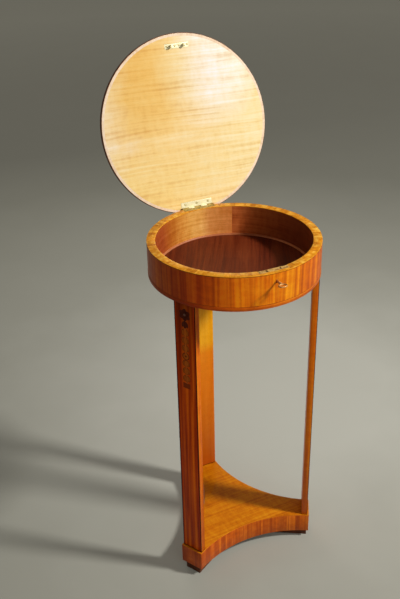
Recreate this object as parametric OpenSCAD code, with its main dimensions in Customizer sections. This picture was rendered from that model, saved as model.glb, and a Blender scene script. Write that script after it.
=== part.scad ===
// Round work table with a lidded sewing well on three flat legs and a triform plinth.
// Millimetres, +Z up. The origin is on the table's axis at floor level.
// The lock is at the front (-Y) and the hinge at the back (+Y). The lid is drawn open.

/* [Drum] */
// Height of the drum's rim above the floor
rim_h = 751; // [600:1:900]
// Radius of the drum over its veneer
drum_r = 170; // [150:1:220]
// Height of the drum
drum_h = 70; // [60:1:110]
// Thickness of the drum's wall with its veneer and lining
wall_t = 17; // [16.5:0.5:22]
// Height of the plain band round the drum's foot
base_band_h = 8; // [4:0.5:14]
// How far that band stands proud of the veneer
base_band_proud = 0.4; // [0.2:0.1:1.5]

/* [Well] */
// Thickness of the board that closes the drum's underside
floor_t = 5; // [4:0.5:9]
// Thickness of the lining round the well
lining_t = 2; // [1:0.1:2.6]
// Radius of the quarter round bead at the foot of the lining
bead_r = 3.2; // [3:0.1:6]
// How far the floor board is housed in the carcass
floor_rebate = 1; // [0.5:0.1:1.5]
// Direction of the seam where the two linings meet
seam_angle = 65; // [20:1:75]

/* [Veneer] */
// Thickness of the veneers and crossbands
veneer_t = 1.2; // [1:0.1:2]
// Width of the crossband round the lid's top
lid_crossband_w = 17; // [8:0.5:30]
// Width of the plain border round the lid's underside
lid_border_w = 5; // [2:0.5:8]

/* [Lid] */
// How far the lid overhangs the drum
lid_overhang = 11.5; // [6:0.5:16]
// Thickness of the lid with its veneers
lid_t = 10; // [9:0.5:16]
// Gap between the closed lid and the rim
lid_gap = 0.5; // [0.3:0.1:1.5]
// Angle the lid opens to before its back edge meets the drum
lid_open = 104.5; // [95:0.5:120]
// Gap left between the open lid and the drum's back
stop_gap = 0.3; // [0.3:0.1:1]
// Width of the chamfer on the lid's edges
lid_chamfer = 0.8; // [0.3:0.1:0.9]

/* [Legs] */
// Width of a leg across its outer face
leg_w = 47.5; // [38:0.5:56]
// Thickness of a leg
leg_t = 13; // [10:0.5:14]
// How far a leg's outer face is set in from the drum's side
leg_setback = 2.5; // [2:0.5:4]
// Thickness of a leg's tenons
tenon_t = 6; // [4:0.5:7]
// Width of a leg's tenons
tenon_w = 30; // [20:1:36]
// Length of a leg's tenons
tenon_l = 18; // [10:1:26]
// Gap between a tenon and its mortise
tenon_gap = 0.15; // [0.1:0.05:0.3]
// Width of the dark banding along a leg's outer edges
leg_band_w = 4.5; // [2:0.5:7]
// Depth of the banding and inlay in a leg's face
inlay_t = 1; // [0.6:0.1:1.5]

/* [Inlay] */
// Distance of the rosette's centre below the drum
rosette_drop = 24; // [16:1:40]
// Radius of the ring of petals
petal_ring_r = 8.4; // [7.8:0.1:10]
// Radius of a petal
petal_r = 3.4; // [2:0.1:3.6]
// Radius of the rosette's centre
rosette_centre_r = 4; // [2:0.1:4.6]
// Number of petals
petal_count = 6; // [5:1:7]
// Width of a husk
husk_w = 12; // [6:0.5:13]
// Height of a husk
husk_h = 15; // [14:0.5:22]
// Gap between one piece of the inlay and the next
inlay_gap = 2.5; // [1:0.5:6]
// Number of husks between the rosette and the disc
upper_husks = 4; // [1:1:7]
// Number of husks below the disc
lower_husks = 3; // [1:1:5]
// Radius of the disc between the husks
disc_r = 7; // [4:0.1:9]
// Width of the block that ends the inlay
block_w = 17; // [8:1:26]
// Height of the block that ends the inlay
block_h = 12; // [5:1:20]

/* [Plinth] */
// How far the plinth's corner faces stand out past the legs
corner_step = 4; // [2:0.5:12]
// Height of the plinth with its top veneer
plinth_h = 47; // [36:1:70]
// Width of a corner face
corner_w = 52; // [48:1:64]
// Depth that each side is scooped in
scoop = 37; // [20:0.5:44]
// Height of the recessed sole under the plinth
sole_h = 19; // [8:0.5:30]
// How far the sole is set in from the plinth's sides
sole_inset = 4; // [2:0.5:12]
// Width of the sole's three arms
sole_arm_w = 36; // [30:1:64]

/* [Hinge] */
// Length of the hinge
hinge_l = 70; // [50:1:90]
// Width of a leaf from the pin's axis
leaf_w = 14; // [12:0.5:18.5]
// How far the pin's axis lies below the closed lid
axis_drop = 2.4; // [1.8:0.1:2.5]
// Thickness of a leaf
leaf_t = 1.4; // [0.8:0.1:1.5]
// Radius of the knuckles
knuckle_r = 3; // [2.5:0.1:3.2]
// Radius of the pin
pin_r = 1.5; // [1:0.1:1.7]
// Gap round the pin in the lid's knuckles
pin_gap = 0.05; // [0.02:0.01:0.1]
// Gap between neighbouring knuckles and round them
knuckle_gap = 0.4; // [0.2:0.1:0.6]
// How far the knuckles' groove runs past the hinge at each end
groove_past = 4; // [2:0.5:8]

/* [Lock] */
// Height of the lock's plate
lock_h = 34.5; // [33:0.5:42]
// Thickness of the lock's plate
lock_plate_t = 1.5; // [1:0.1:1.5]
// Width of the lock's selvedge across the rim
selvedge_w = 10; // [9.5:0.5:11]
// How far the lock's plate stands into the well past the lining
lock_proud = 1.3; // [0.5:0.1:2.5]
// Width of the lock's case
case_w = 53; // [52:0.5:60]
// How far the lock's plate stands past its case at each end
lock_flange = 3.5; // [3.5:0.1:6]
// Height of the lock's case
case_h = 26; // [24:0.5:27]
// Thickness of the case's sheet
case_t = 0.8; // [0.5:0.1:0.9]
// Depth of the room inside the case
case_room = 7; // [7:0.1:7.4]
// Distance of the keyhole below the rim
keyhole_drop = 16.5; // [15.5:0.1:18]
// Height of the plate's lower screws above the plate's foot
plate_screw_up = 2.8; // [2:0.1:3]
// Distance of these screws from the plate's ends
plate_screw_in = 6; // [3:0.5:12]
// Half the distance between the two links
link_x = 14; // [12:0.5:14.5]
// Thickness of a link
link_t = 2; // [1.5:0.1:2.4]
// Width of a link
link_w = 5.5; // [5:0.1:5.5]
// Length of a link below the lid
link_l = 9; // [8.5:0.1:9.5]
// Radius of the eye in a link
eye_r = 1.7; // [1.6:0.05:1.8]
// Gap round a link in its slot
slot_gap = 0.7; // [0.5:0.1:0.7]
// Width of the link plate
link_plate_w = 52; // [48:0.5:60]
// Distance of the link plate's outer screws from its ends
link_screw_edge = 3.6; // [2.5:0.1:4.5]
// Distance of its inner screws from its middle
link_screw_in = 4.5; // [3:0.5:9]
// Radius of the bolt's fingers
finger_r = 1.3; // [1:0.05:1.3]
// Length of the bolt's fingers
finger_l = 4.8; // [4.6:0.1:5.1]
// Gap between a resting finger's tip and its link
finger_gap = 1; // [0.8:0.1:1.4]
// Width of the uprights that carry the fingers
upright_w = 2.6; // [2:0.1:2.8]
// Travel of the bolt for one turn of the key
bolt_travel = 6; // [5:0.1:6.2]
// Thickness of the bolt
bolt_t = 2; // [1.5:0.1:2.4]
// Gap between the bolt's bar and the links above it and the key's shank below it
bolt_gap = 0.7; // [0.4:0.1:0.8]
// Half the distance between the studs that the bolt slides on
guide_x = 13.5; // [12.5:0.5:14.5]
// Radius of these studs
guide_r = 0.9; // [0.7:0.1:1]
// Gap between the studs and the bolt
guide_gap = 0.1; // [0.06:0.02:0.2]

/* [Key] */
// Radius of the key's shank
shank_r = 1.9; // [1.6:0.05:2]
// Length of shank between the drum and the bow
shank_out = 15; // [10:0.5:25]
// Radius of the bore in the shank's end
pipe_r = 1; // [0.8:0.05:1.1]
// Depth of that bore
pipe_l = 6; // [4:0.1:6.4]
// Gap between the bore and the lock's drill pin
pipe_gap = 0.07; // [0.03:0.01:0.1]
// Distance from the key's axis to the end of its bit
bit_reach = 4.6; // [3.6:0.1:5.4]
// Thickness of the bit
bit_t = 1.8; // [1.2:0.1:2]
// Length of the bit along the shank
bit_l = 3.4; // [2.4:0.1:4]
// Radius of the bow's round ends
bow_r = 6.2; // [5:0.1:7]
// Width of the bow
bow_w = 18; // [14:0.5:22]
// Width of the bow's rim
bow_rim = 2.8; // [2:0.1:3.2]
// Thickness of the bow
bow_t = 2.4; // [1.5:0.1:3]
// Radius of the collar on the shank
collar_r = 3; // [2.4:0.1:4]

/* [Screws] */
// Shank radius of the hinge's screws
screw_r = 1.2; // [0.9:0.1:1.4]
// Head radius of the hinge's screws
screw_head_r = 2.3; // [1.8:0.1:2.8]
// Length of the hinge's and link plate's screws
screw_l = 7.5; // [5:0.5:8]
// Shank radius of the lock's and link plate's screws
small_screw_r = 0.8; // [0.6:0.1:0.9]
// Head radius of the lock's and link plate's screws
small_head_r = 1.7; // [1.2:0.1:1.7]
// Length of the lock's screws
small_screw_l = 7; // [4:0.5:8]
// Gap between a screw and the hole that it fills
screw_gap = 0.05; // [0.02:0.01:0.1]

/* [Hidden] */
$fn = 96;

// Overlap that lets a cutting solid run past the face it cuts
eps = 1;

// Angle by which one screw's driver slot is turned from the next
slot_turn = 52;

// Colours as the photograph shows them
satinwood = [0.85, 0.50, 0.16];
pale_satinwood = [0.96, 0.83, 0.55];
red_satinwood = [0.72, 0.34, 0.12];
mahogany = [0.45, 0.17, 0.07];
lining_wood = [0.66, 0.36, 0.16];
bead_wood = [0.78, 0.50, 0.36];
dark_wood = [0.16, 0.06, 0.03];
inlay_wood = [0.62, 0.47, 0.25];
brass = [0.86, 0.74, 0.45];
old_brass = [0.62, 0.52, 0.28];

// Drum
drum_base = rim_h - drum_h;
carcass_r = drum_r - veneer_t;
well_r = drum_r - wall_t;
lining_r = well_r + lining_t;
floor_z = drum_base + floor_t;
floor_r = lining_r + floor_rebate;
crossband_z = rim_h - veneer_t;

// Legs
leg_angles = [90, -150, -30];
leg_face_r = drum_r - leg_setback;
leg_top = drum_base;
plinth_top = sole_h + plinth_h;
leg_l = leg_top - plinth_top;

// Inlay, as distances below the drum
husk_pitch = husk_h + inlay_gap;
first_husk = rosette_drop + petal_ring_r + petal_r + inlay_gap + husk_h / 2;
disc_drop = first_husk + husk_pitch * (upper_husks - 1) + husk_h / 2 + inlay_gap + disc_r;
lower_husk = disc_drop + disc_r + inlay_gap + husk_h / 2;
block_drop = lower_husk + husk_pitch * (lower_husks - 1) + husk_h / 2 + inlay_gap + block_h / 2;

// Plinth outline: a triangle through the corner faces, scooped by three circles
plinth_r = leg_face_r + corner_step;
chord_d = plinth_r * cos(60) + corner_w / 2 * sin(60);
half_chord = plinth_r * sin(60) - corner_w / 2 * cos(60);
scoop_r = (half_chord * half_chord + scoop * scoop) / (2 * scoop);
scoop_d = chord_d - scoop + scoop_r;

// Lid and hinge. The axis lies where the open lid's back edge just clears the drum
lid_r = drum_r + lid_overhang;
lid_z = rim_h + lid_gap;
axis_z = lid_z - axis_drop;
axis_y = (drum_r + stop_gap - (lid_r - lid_chamfer) * cos(lid_open) - axis_drop * sin(lid_open))
    / (1 - cos(lid_open));
groove_r = knuckle_r + knuckle_gap;
knuckle_count = 5;
knuckle_pitch = hinge_l / knuckle_count;
// The outer screws stand at this share of the hinge's half length
outer_screw_share = 0.74;
hinge_screw_x = [for (s = [-1, 0, 1]) s * hinge_l / 2 * outer_screw_share];
hinge_screw_y = axis_y - (leaf_w + knuckle_r) / 2;

// Lock. Its parts are placed by their distance from the table's axis towards the front
lock_w = case_w + 2 * lock_flange;
lock_face = well_r - lock_proud;
case_back = lock_face + lock_plate_t;
case_front = case_back + case_room;
case_out = case_front + case_t;
lock_mid = case_back + case_room / 2;
case_top = rim_h - lock_plate_t;
key_z = rim_h - keyhole_drop;
link_bottom_z = lid_z - link_l;
eye_z = link_bottom_z + link_w / 2;
bolt_back = bolt_travel / 4;
bolt_ahead = bolt_travel - bolt_back;
bolt_top_z = link_bottom_z - bolt_gap;
bolt_bottom_z = key_z + shank_r + bolt_gap;
bolt_mid_z = (bolt_top_z + bolt_bottom_z) / 2;
upright_x = link_t / 2 + finger_gap + finger_l;
// Metal left between a guide slot and the bolt's end
slot_end_w = 1.6;
// Room over the key's bit when it stands in the bolt
talon_gap = 0.4;
// Shoulders and heads of the guide studs
guide_flange = 0.7;
guide_head_t = 0.6;
stud_root = case_back - lock_plate_t / 2;
key_tip_gap = 0.4;
pipe_end_gap = 0.7;
drill_pin_r = pipe_r - pipe_gap;
drill_pin_end = case_back + key_tip_gap + pipe_l - pipe_end_gap;
keyhole_gap = 0.3;
selvedge_screw_x = (case_w + lock_flange) / 2;
plate_screw_x = lock_w / 2 - plate_screw_in;
plate_screw_z = rim_h - lock_h + plate_screw_up;
plate_screws = [for (s = [-1, 1]) [s * plate_screw_x, plate_screw_z]];
link_screw_out = link_plate_w / 2 - link_screw_edge;
link_screw_x = [-link_screw_out, -link_screw_in, link_screw_in, link_screw_out];
lid_plate_y = -(lock_face + selvedge_w / 2);

// Key
bow_start = drum_r + shank_out;
key_tip = case_back + key_tip_gap;
bow_straight = bow_w - 2 * bow_r;

// A ring of rectangular section standing on height z
module ring(outer, inner, z, h) {
    translate([0, 0, z]) difference() {
        cylinder(r = outer, h = h);
        translate([0, 0, -eps]) cylinder(r = inner, h = h + 2 * eps);
    }
}

// A countersunk screw whose head is flush with z = 0, pointing down. Gap makes it a hole
module screw(length, r, head_r, gap) {
    head_h = head_r - r;
    tip_h = 2 * r;
    tip_r = 0.2;
    translate([0, 0, -head_h]) cylinder(r1 = r + gap, r2 = head_r + gap, h = head_h);
    translate([0, 0, tip_h - length - gap]) cylinder(r = r + gap, h = length - tip_h - head_h + gap);
    translate([0, 0, -length - gap]) cylinder(r1 = tip_r, r2 = r + gap, h = tip_h);
    if (gap > 0) cylinder(r = head_r + gap, h = eps);
}

// The same screw with its driver slot turned by the given angle
module slotted_screw(length, r, head_r, turn) {
    slot_d = 0.5;
    slot_w = 0.6;
    difference() {
        screw(length, r, head_r, 0);
        rotate([0, 0, turn]) translate([-head_r - eps, -slot_w / 2, -slot_d])
            cube([2 * (head_r + eps), slot_w, slot_d + eps]);
    }
}

// Turns what is drawn with the lid closed to the open lid's place
module opened() {
    translate([0, axis_y, axis_z]) rotate([-lid_open, 0, 0])
        translate([0, -axis_y, -axis_z]) children();
}

// A bar along X centred on the hinge's axis
module along_hinge(r, length) {
    translate([-length / 2, axis_y, axis_z]) rotate([0, 90, 0]) cylinder(r = r, h = length);
}

// Room for the knuckles in the drum and the lid
module knuckle_groove() {
    along_hinge(groove_r, hinge_l + 2 * groove_past);
}

// The leaf that lies in the rim, running from the axis towards the front and up past the rim
module lower_leaf_plate(past) {
    translate([-hinge_l / 2, axis_y - leaf_w, rim_h - leaf_t]) cube([hinge_l, leaf_w, leaf_t + past]);
}

// The leaf that lies in the closed lid's underside, running down past it
module upper_leaf_plate(past) {
    translate([-hinge_l / 2, axis_y - leaf_w, lid_z - past]) cube([hinge_l, leaf_w, leaf_t + past]);
}

// The knuckles whose numbers have the same parity as first, grown by the given gap
module knuckles(first, r, gap) {
    for (i = [first:2:knuckle_count - 1])
        translate([-hinge_l / 2 + i * knuckle_pitch + knuckle_gap / 2 - gap, axis_y, axis_z])
            rotate([0, 90, 0]) cylinder(r = r, h = knuckle_pitch - knuckle_gap + 2 * gap);
}

module lower_hinge_screws(gap) {
    for (i = [0:2]) translate([hinge_screw_x[i], hinge_screw_y, rim_h]) {
        if (gap > 0) screw(screw_l, screw_r, screw_head_r, gap);
        else slotted_screw(screw_l, screw_r, screw_head_r, slot_turn * (i + 1));
    }
}

module upper_hinge_screws(gap) {
    for (i = [0:2]) translate([hinge_screw_x[i], hinge_screw_y, lid_z]) rotate([180, 0, 0]) {
        if (gap > 0) screw(screw_l, screw_r, screw_head_r, gap);
        else slotted_screw(screw_l, screw_r, screw_head_r, slot_turn * i);
    }
}

module hinge_lower_leaf() {
    color(brass) difference() {
        union() {
            lower_leaf_plate(0);
            knuckles(0, knuckle_r, 0);
        }
        knuckles(1, groove_r, knuckle_gap);
        along_hinge(pin_r, hinge_l + 2 * eps);
        lower_hinge_screws(screw_gap);
    }
}

module hinge_upper_leaf() {
    color(brass) opened() difference() {
        union() {
            upper_leaf_plate(0);
            knuckles(1, knuckle_r, 0);
        }
        knuckles(0, groove_r, knuckle_gap);
        along_hinge(pin_r + pin_gap, hinge_l + 2 * eps);
        upper_hinge_screws(screw_gap);
    }
}

module hinge_pin() {
    color(old_brass) along_hinge(pin_r, hinge_l + 1);
}

module hinge_lower_screws() {
    color(old_brass) lower_hinge_screws(0);
}

module hinge_upper_screws() {
    color(old_brass) opened() upper_hinge_screws(0);
}

// Room for the lock's plate and selvedge, open towards the well and the top
module lock_plate_room() {
    translate([-lock_w / 2, -case_back, rim_h - lock_h])
        cube([lock_w, lock_plate_t + wall_t, lock_h + eps]);
    translate([-lock_w / 2, -lock_face - selvedge_w, case_top])
        cube([lock_w, selvedge_w + wall_t, lock_plate_t + eps]);
}

// Room for the case behind the plate
module lock_case_room() {
    translate([-case_w / 2, -case_out, case_top - case_h])
        cube([case_w, case_out - case_back + eps, case_h + eps]);
}

// The keyhole: a round hole with a slot below it, running out through the front
module keyhole() {
    slot_w = bit_t + 2 * keyhole_gap;
    slot_l = bit_reach + keyhole_gap;
    translate([0, -case_front + eps, key_z]) rotate([90, 0, 0])
        cylinder(r = shank_r + keyhole_gap, h = drum_r);
    translate([-slot_w / 2, -case_front + eps - drum_r, key_z - slot_l])
        cube([slot_w, drum_r, slot_l]);
}

module lock_wood_screws(gap) {
    for (s = [-1, 1]) translate([s * selvedge_screw_x, -lock_mid, rim_h]) {
        if (gap > 0) screw(small_screw_l, small_screw_r, small_head_r, gap);
        else slotted_screw(small_screw_l, small_screw_r, small_head_r, slot_turn * s);
    }
    for (p = plate_screws) translate([p[0], -lock_face, p[1]]) rotate([-90, 0, 0]) {
        if (gap > 0) screw(small_screw_l, small_screw_r, small_head_r, gap);
        else slotted_screw(small_screw_l, small_screw_r, small_head_r, 2 * slot_turn);
    }
}

// A stud that the bolt slides on, between its shoulder and its head
module guide_stud(x) {
    shoulder = lock_mid - bolt_t / 2 - guide_gap;
    head = lock_mid + bolt_t / 2 + guide_gap;
    translate([x, 0, bolt_mid_z]) rotate([90, 0, 0]) {
        translate([0, 0, stud_root]) cylinder(r = guide_r + guide_flange, h = shoulder - stud_root);
        translate([0, 0, stud_root]) cylinder(r = guide_r, h = head + guide_head_t / 2 - stud_root);
        translate([0, 0, head]) cylinder(r = guide_r + guide_flange, h = guide_head_t);
    }
}

module lock_plate() {
    slot_x = link_t + 2 * slot_gap;
    slot_y = link_w + 2 * slot_gap;
    color(old_brass) {
        difference() {
            union() {
                translate([-lock_w / 2, -case_back, rim_h - lock_h]) cube([lock_w, lock_plate_t, lock_h]);
                translate([-lock_w / 2, -lock_face - selvedge_w, case_top])
                    cube([lock_w, selvedge_w, lock_plate_t]);
                translate([0, -stud_root, key_z]) rotate([90, 0, 0])
                    cylinder(r = drill_pin_r, h = drill_pin_end - stud_root);
                for (s = [-1, 1]) guide_stud(s * guide_x);
            }
            for (s = [-1, 1]) translate([s * link_x - slot_x / 2, -lock_mid - slot_y / 2, case_top - eps])
                cube([slot_x, slot_y, lock_plate_t + 2 * eps]);
            lock_wood_screws(screw_gap);
        }
    }
}

module lock_case() {
    color(old_brass) difference() {
        translate([-case_w / 2, -case_out, case_top - case_h]) cube([case_w, case_out - case_back, case_h]);
        translate([-case_w / 2 + case_t, -case_front, case_top - case_h + case_t])
            cube([case_w - 2 * case_t, case_room + eps, case_h]);
        keyhole();
    }
}

module lock_screws() {
    color(old_brass) lock_wood_screws(0);
}

// The bolt's slots for its guide studs, as long as its travel
module guide_slots() {
    slot_r = guide_r + guide_gap;
    for (s = [-1, 1]) translate([s * guide_x, -lock_mid + bolt_t, bolt_mid_z]) rotate([90, 0, 0]) {
        for (x = [-bolt_ahead, bolt_back]) translate([x, 0, 0]) cylinder(r = slot_r, h = 2 * bolt_t);
        translate([-bolt_ahead, -slot_r, 0]) cube([bolt_travel, 2 * slot_r, 2 * bolt_t]);
    }
}

// The bolt: a bar with two uprights and fingers, and a notch that the key's bit turns through
module lock_bolt() {
    bolt_left = -link_x - upright_x - upright_w;
    bolt_right = guide_x + bolt_back + guide_r + guide_gap + slot_end_w;
    notch_w = 1.7 * bit_reach;
    notch_top = key_z + bit_reach + talon_gap;
    color(brass) difference() {
        union() {
            translate([bolt_left, -lock_mid - bolt_t / 2, bolt_bottom_z])
                cube([bolt_right - bolt_left, bolt_t, bolt_top_z - bolt_bottom_z]);
            for (s = [-1, 1]) translate([s * link_x - upright_x, 0, 0]) {
                translate([-upright_w, -lock_mid - bolt_t / 2, bolt_bottom_z])
                    cube([upright_w, bolt_t, eye_z + finger_r - bolt_bottom_z]);
                translate([-upright_w / 2, -lock_mid, eye_z]) rotate([0, 90, 0])
                    cylinder(r = finger_r, h = finger_l + upright_w / 2);
            }
        }
        translate([-bolt_back - notch_w / 2, -lock_mid - bolt_t, bolt_bottom_z - eps])
            cube([notch_w, 2 * bolt_t, notch_top - bolt_bottom_z + eps]);
        guide_slots();
    }
}

// The key is drawn a quarter turn past its slot, with its bit towards the left
module key() {
    bow_y = -bow_start - bow_r;
    color(brass) difference() {
        union() {
            translate([0, -key_tip, key_z]) rotate([90, 0, 0])
                cylinder(r = shank_r, h = bow_start + bow_rim / 2 - key_tip);
            translate([0, -bow_start + collar_r, key_z]) rotate([90, 0, 0])
                cylinder(r = collar_r, h = collar_r);
            translate([-bit_reach, -lock_mid - bit_l / 2, key_z - bit_t / 2]) cube([bit_reach, bit_l, bit_t]);
            translate([0, bow_y, key_z - bow_t / 2]) linear_extrude(bow_t) difference() {
                union() {
                    for (s = [-1, 1]) translate([s * bow_straight / 2, 0]) circle(r = bow_r);
                    square([bow_straight, 2 * bow_r], center = true);
                }
                for (s = [-1, 1]) translate([s * bow_straight / 2, 0]) circle(r = bow_r - bow_rim);
                square([bow_straight, 2 * (bow_r - bow_rim)], center = true);
            }
        }
        translate([0, -key_tip + eps, key_z]) rotate([90, 0, 0])
            cylinder(r = pipe_r, h = pipe_l + eps);
    }
}

// The lock's and the hinge's cuts in the drum
module drum_cuts() {
    lower_leaf_plate(eps);
    knuckle_groove();
    lower_hinge_screws(screw_gap);
    lock_plate_room();
    lock_case_room();
    lock_wood_screws(screw_gap);
    keyhole();
}

module drum_carcass() {
    color(mahogany) difference() {
        ring(carcass_r, lining_r, drum_base, drum_h - veneer_t);
        translate([0, 0, drum_base - eps]) cylinder(r = floor_r, h = floor_z - drum_base + eps);
        drum_cuts();
        for (a = leg_angles) rotate([0, 0, a]) tenon_at(leg_top, 1, tenon_gap);
    }
}

module drum_veneer() {
    color(satinwood) difference() {
        ring(drum_r, carcass_r, drum_base + base_band_h, drum_h - base_band_h - veneer_t);
        drum_cuts();
    }
}

module drum_base_band() {
    color(red_satinwood) ring(drum_r + base_band_proud, carcass_r, drum_base, base_band_h);
}

module rim_crossband() {
    color(satinwood) difference() {
        ring(drum_r, well_r, crossband_z, veneer_t);
        drum_cuts();
    }
}

// Half of the well's lining, from the seam through half a turn
module well_lining(start_angle) {
    difference() {
        ring(lining_r, well_r, floor_z, crossband_z - floor_z);
        rotate([0, 0, start_angle]) translate([-drum_r, -drum_r, floor_z - eps])
            cube([2 * drum_r, drum_r, drum_h]);
        drum_cuts();
    }
}

module well_lining_left() {
    color(lining_wood) well_lining(seam_angle);
}

module well_lining_right() {
    color(mahogany) well_lining(seam_angle + 180);
}

module well_bead() {
    color(bead_wood) translate([0, 0, floor_z]) rotate_extrude() intersection() {
        translate([well_r, 0]) circle(r = bead_r);
        translate([well_r - bead_r, 0]) square([bead_r, bead_r]);
    }
}

module well_floor() {
    color(mahogany) translate([0, 0, drum_base]) cylinder(r = floor_r, h = floor_z - drum_base);
}

// A leg's tenon seen along +X, rising or falling from height z and grown by gap
module tenon_at(z, up, gap) {
    length = tenon_l + gap;
    translate([leg_face_r - leg_t / 2 - tenon_t / 2 - gap, -tenon_w / 2 - gap, up > 0 ? z - eps : z - length])
        cube([tenon_t + 2 * gap, tenon_w + 2 * gap, length + eps]);
}

// Draws a flat shape let into a leg's outer face and standing past it, measured from the drum down
module on_leg_face(angle, past) {
    rotate([0, 0, angle]) translate([leg_face_r - inlay_t, 0, leg_top]) rotate([90, 0, 90])
        linear_extrude(inlay_t + past) children();
}

// A husk: the pointed oval where two circles cross
module husk() {
    arc_r = (husk_h * husk_h + husk_w * husk_w) / (4 * husk_w);
    intersection() {
        translate([arc_r - husk_w / 2, 0]) circle(r = arc_r);
        translate([husk_w / 2 - arc_r, 0]) circle(r = arc_r);
    }
}

module dark_inlay() {
    for (i = [0:petal_count - 1]) translate([0, -rosette_drop]) rotate(90 + i * 360 / petal_count)
        translate([petal_ring_r, 0]) circle(r = petal_r);
    translate([0, -first_husk]) husk();
    translate([-block_w / 2, -block_drop - block_h / 2]) square([block_w, block_h]);
}

module light_inlay() {
    translate([0, -rosette_drop]) circle(r = rosette_centre_r);
    for (i = [1:1:upper_husks - 1]) translate([0, -first_husk - i * husk_pitch]) husk();
    translate([0, -disc_drop]) circle(r = disc_r);
    for (i = [0:1:lower_husks - 1]) translate([0, -lower_husk - i * husk_pitch]) husk();
}

// The two strips along a leg's outer edges, standing past its sides and ends
module edge_bands(past) {
    for (s = [-1, 1]) translate([s * (leg_w - leg_band_w + past) / 2, -leg_l / 2])
        square([leg_band_w + past, leg_l + 2 * past], center = true);
}

module leg(angle) {
    difference() {
        rotate([0, 0, angle]) {
            translate([leg_face_r - leg_t, -leg_w / 2, plinth_top]) cube([leg_t, leg_w, leg_l]);
            tenon_at(leg_top, 1, 0);
            tenon_at(plinth_top, -1, 0);
        }
        on_leg_face(angle, eps) edge_bands(eps);
        on_leg_face(angle, eps) dark_inlay();
        on_leg_face(angle, eps) light_inlay();
    }
}

module leg_back() {
    color(satinwood) leg(leg_angles[0]);
}

module leg_front_left() {
    color(satinwood) leg(leg_angles[1]);
}

module leg_front_right() {
    color(satinwood) leg(leg_angles[2]);
}

module leg_edge_banding() {
    color(dark_wood) for (a = leg_angles) on_leg_face(a, 0) edge_bands(0);
}

module leg_inlay_dark() {
    color(dark_wood) for (a = leg_angles) on_leg_face(a, 0) dark_inlay();
}

module leg_inlay_light() {
    color(inlay_wood) for (a = leg_angles) on_leg_face(a, 0) light_inlay();
}

// The plinth's outline, drawn in by the given distance
module plinth_outline(inset) {
    difference() {
        rotate(30) circle(r = 2 * (plinth_r - inset), $fn = 3);
        for (a = [-90, 30, 150]) rotate(a) translate([scoop_d, 0]) circle(r = scoop_r + inset, $fn = 180);
    }
}

// A slab of the plinth's outline with the legs' mortises cut from it
module plinth_slab(inset, z, h) {
    difference() {
        translate([0, 0, z]) linear_extrude(h) plinth_outline(inset);
        for (a = leg_angles) rotate([0, 0, a]) tenon_at(plinth_top, -1, tenon_gap);
    }
}

// The sole: three arms that meet under the plinth's middle and end as feet at its corners
module plinth_sole() {
    color(dark_wood) linear_extrude(sole_h) intersection() {
        plinth_outline(sole_inset);
        for (a = leg_angles) rotate(a) translate([0, -sole_arm_w / 2]) square([plinth_r, sole_arm_w]);
    }
}

module plinth_core() {
    color(mahogany) plinth_slab(veneer_t, sole_h, plinth_h - veneer_t);
}

module plinth_edge_veneer() {
    color(red_satinwood) translate([0, 0, sole_h]) linear_extrude(plinth_h - veneer_t) difference() {
        plinth_outline(0);
        plinth_outline(veneer_t);
    }
}

module plinth_top_veneer() {
    color(satinwood) plinth_slab(0, plinth_top - veneer_t, veneer_t);
}

// The link plate's screws in the closed lid
module link_screws(gap) {
    for (i = [0:3]) translate([link_screw_x[i], lid_plate_y, lid_z]) rotate([180, 0, 0]) {
        if (gap > 0) screw(screw_l, small_screw_r, small_head_r, gap);
        else slotted_screw(screw_l, small_screw_r, small_head_r, slot_turn * i);
    }
}

// The plate that carries the links, running down past the lid's underside
module link_plate_base(past) {
    translate([-link_plate_w / 2, -lock_face - selvedge_w, lid_z - past])
        cube([link_plate_w, selvedge_w, lock_plate_t + past]);
}

// One link: a flat tongue with a round end and an eye for the bolt's finger
module link() {
    translate([-link_t / 2, -lock_mid, 0]) difference() {
        union() {
            translate([0, -link_w / 2, link_bottom_z + link_w / 2])
                cube([link_t, link_w, lid_z - link_bottom_z - link_w / 2]);
            translate([0, 0, link_bottom_z + link_w / 2]) rotate([0, 90, 0])
                cylinder(r = link_w / 2, h = link_t);
        }
        translate([-eps, 0, eye_z]) rotate([0, 90, 0]) cylinder(r = eye_r, h = link_t + 2 * eps);
    }
}

module link_plate() {
    color(brass) opened() difference() {
        union() {
            link_plate_base(0);
            for (s = [-1, 1]) translate([s * link_x, 0, 0]) link();
        }
        link_screws(screw_gap);
    }
}

module link_plate_screws() {
    color(old_brass) opened() link_screws(0);
}

// The hinge's and the link plate's cuts in the lid
module lid_cuts() {
    upper_leaf_plate(eps);
    knuckle_groove();
    upper_hinge_screws(screw_gap);
    link_plate_base(eps);
    link_screws(screw_gap);
}

module lid_core() {
    color(mahogany) opened() difference() {
        translate([0, 0, lid_z + veneer_t]) cylinder(r = lid_r - veneer_t, h = lid_t - 2 * veneer_t);
        lid_cuts();
    }
}

module lid_edge_band() {
    color(red_satinwood) opened() difference() {
        translate([0, 0, lid_z]) rotate_extrude() polygon([
            [lid_r - veneer_t, 0],
            [lid_r - lid_chamfer, 0],
            [lid_r, lid_chamfer],
            [lid_r, lid_t - lid_chamfer],
            [lid_r - lid_chamfer, lid_t],
            [lid_r - veneer_t, lid_t]
        ]);
        lid_cuts();
    }
}

module lid_top_veneer() {
    color(satinwood) opened() translate([0, 0, lid_z + lid_t - veneer_t])
        cylinder(r = lid_r - veneer_t - lid_crossband_w, h = veneer_t);
}

module lid_top_crossband() {
    color(red_satinwood) opened()
        ring(lid_r - veneer_t, lid_r - veneer_t - lid_crossband_w, lid_z + lid_t - veneer_t, veneer_t);
}

module lid_underside_veneer() {
    color(pale_satinwood) opened() difference() {
        translate([0, 0, lid_z]) cylinder(r = lid_r - veneer_t - lid_border_w, h = veneer_t);
        lid_cuts();
    }
}

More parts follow.
